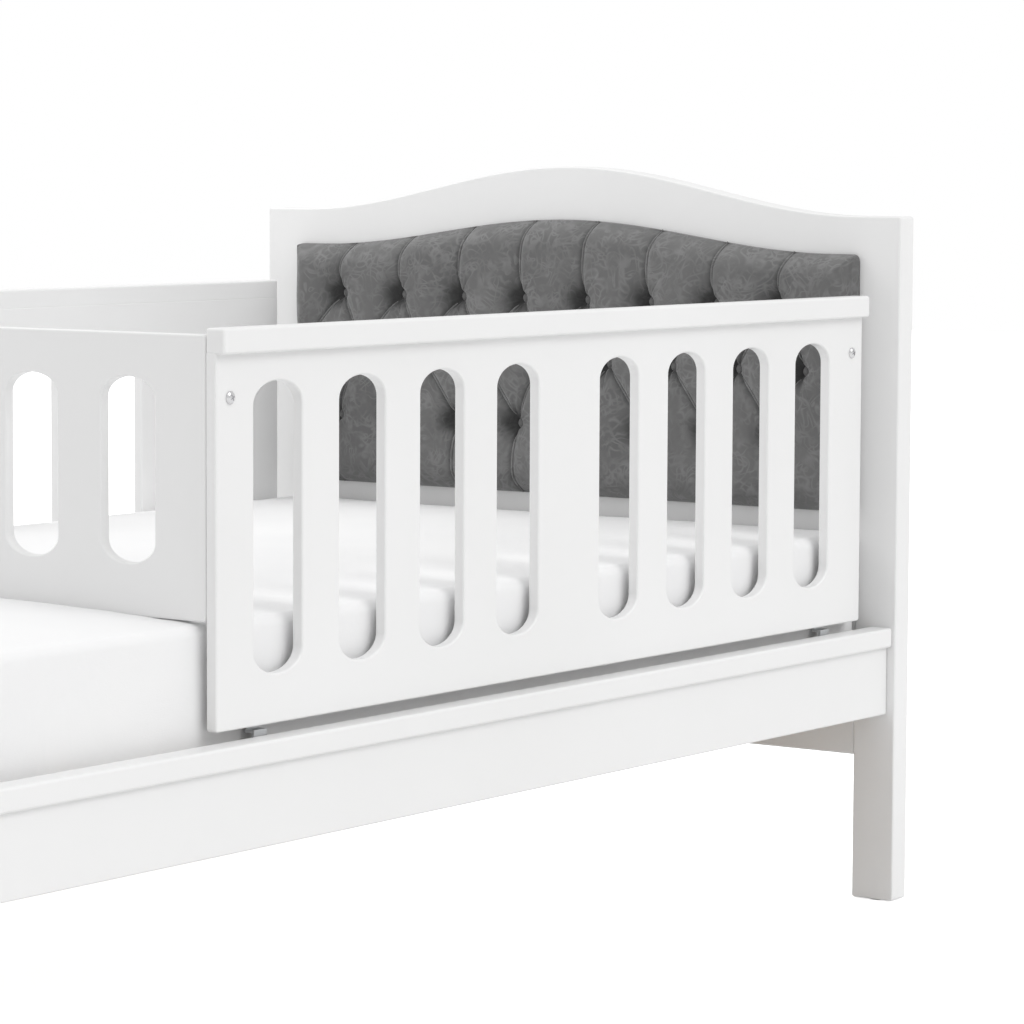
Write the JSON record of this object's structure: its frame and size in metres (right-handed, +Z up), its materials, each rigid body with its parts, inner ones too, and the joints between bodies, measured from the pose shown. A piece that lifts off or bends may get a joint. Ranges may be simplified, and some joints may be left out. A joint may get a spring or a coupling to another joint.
{
  "type": "toddler bed",
  "caption": "White toddler bed with a button-tufted camel-back headboard, slotted guards, a crosswise divider, a slatted base and a mattress.",
  "frame": {"origin": "the middle of the bed's footprint, on the floor", "axes": "+Z up, +Y towards the headboard, +X towards the side of the front guard"},
  "size_m": [0.88, 1.87, 0.809],
  "materials": {
    "white_paint": "satin white paint on board",
    "pad_fabric": "grey embossed upholstery fabric",
    "mattress_cover": "white fitted sheet",
    "plain_wood": "plain sanded softwood",
    "chrome": "bright plated",
    "steel": "zinc plated",
    "glide_plastic": "matte"
  },
  "bodies": {
    "root": {"corner_block_back": "white_paint", "corner_block_front": "white_paint", "corner_plate_foot_back": "steel", "corner_plate_foot_front": "steel", "corner_plate_head_back": "steel", "corner_plate_head_front": "steel", "divider_panel": "white_paint", "footboard_board": "white_paint", "footboard_cross_board": "white_paint", "footboard_glide_back": "glide_plastic", "footboard_glide_front": "glide_plastic", "guard_bolt_back_foot": "chrome", "guard_bolt_back_head": "chrome", "guard_bolt_front_foot": "chrome", "guard_bolt_front_head": "chrome", "guard_bracket_back_foot": "steel", "guard_bracket_back_head": "steel", "guard_bracket_front_foot": "steel", "guard_bracket_front_head": "steel", "guard_cap_back": "white_paint", "guard_cap_front": "white_paint", "guard_nut_back_foot": "chrome", "guard_nut_back_head": "chrome", "guard_nut_front_foot": "chrome", "guard_nut_front_head": "chrome", "guard_panel_back": "white_paint", "guard_panel_front": "white_paint", "headboard_board": "white_paint", "headboard_cross_board": "white_paint", "headboard_glide_back": "glide_plastic", "headboard_glide_front": "glide_plastic", "headboard_pad": "pad_fabric", "mattress": "mattress_cover", "pad_backing_board": "plain_wood", "side_rail_back": "white_paint", "side_rail_cap_back": "white_paint", "side_rail_cap_front": "white_paint", "side_rail_front": "white_paint", "slat_01": "plain_wood", "slat_02": "plain_wood", "slat_03": "plain_wood", "slat_04": "plain_wood", "slat_05": "plain_wood", "slat_06": "plain_wood", "slat_07": "plain_wood", "slat_08": "plain_wood", "slat_09": "plain_wood", "slat_10": "plain_wood", "slat_11": "plain_wood", "slat_12": "plain_wood", "slat_13": "plain_wood", "slat_ledge_back": "plain_wood", "slat_ledge_front": "plain_wood"}
  },
  "joints": []
}
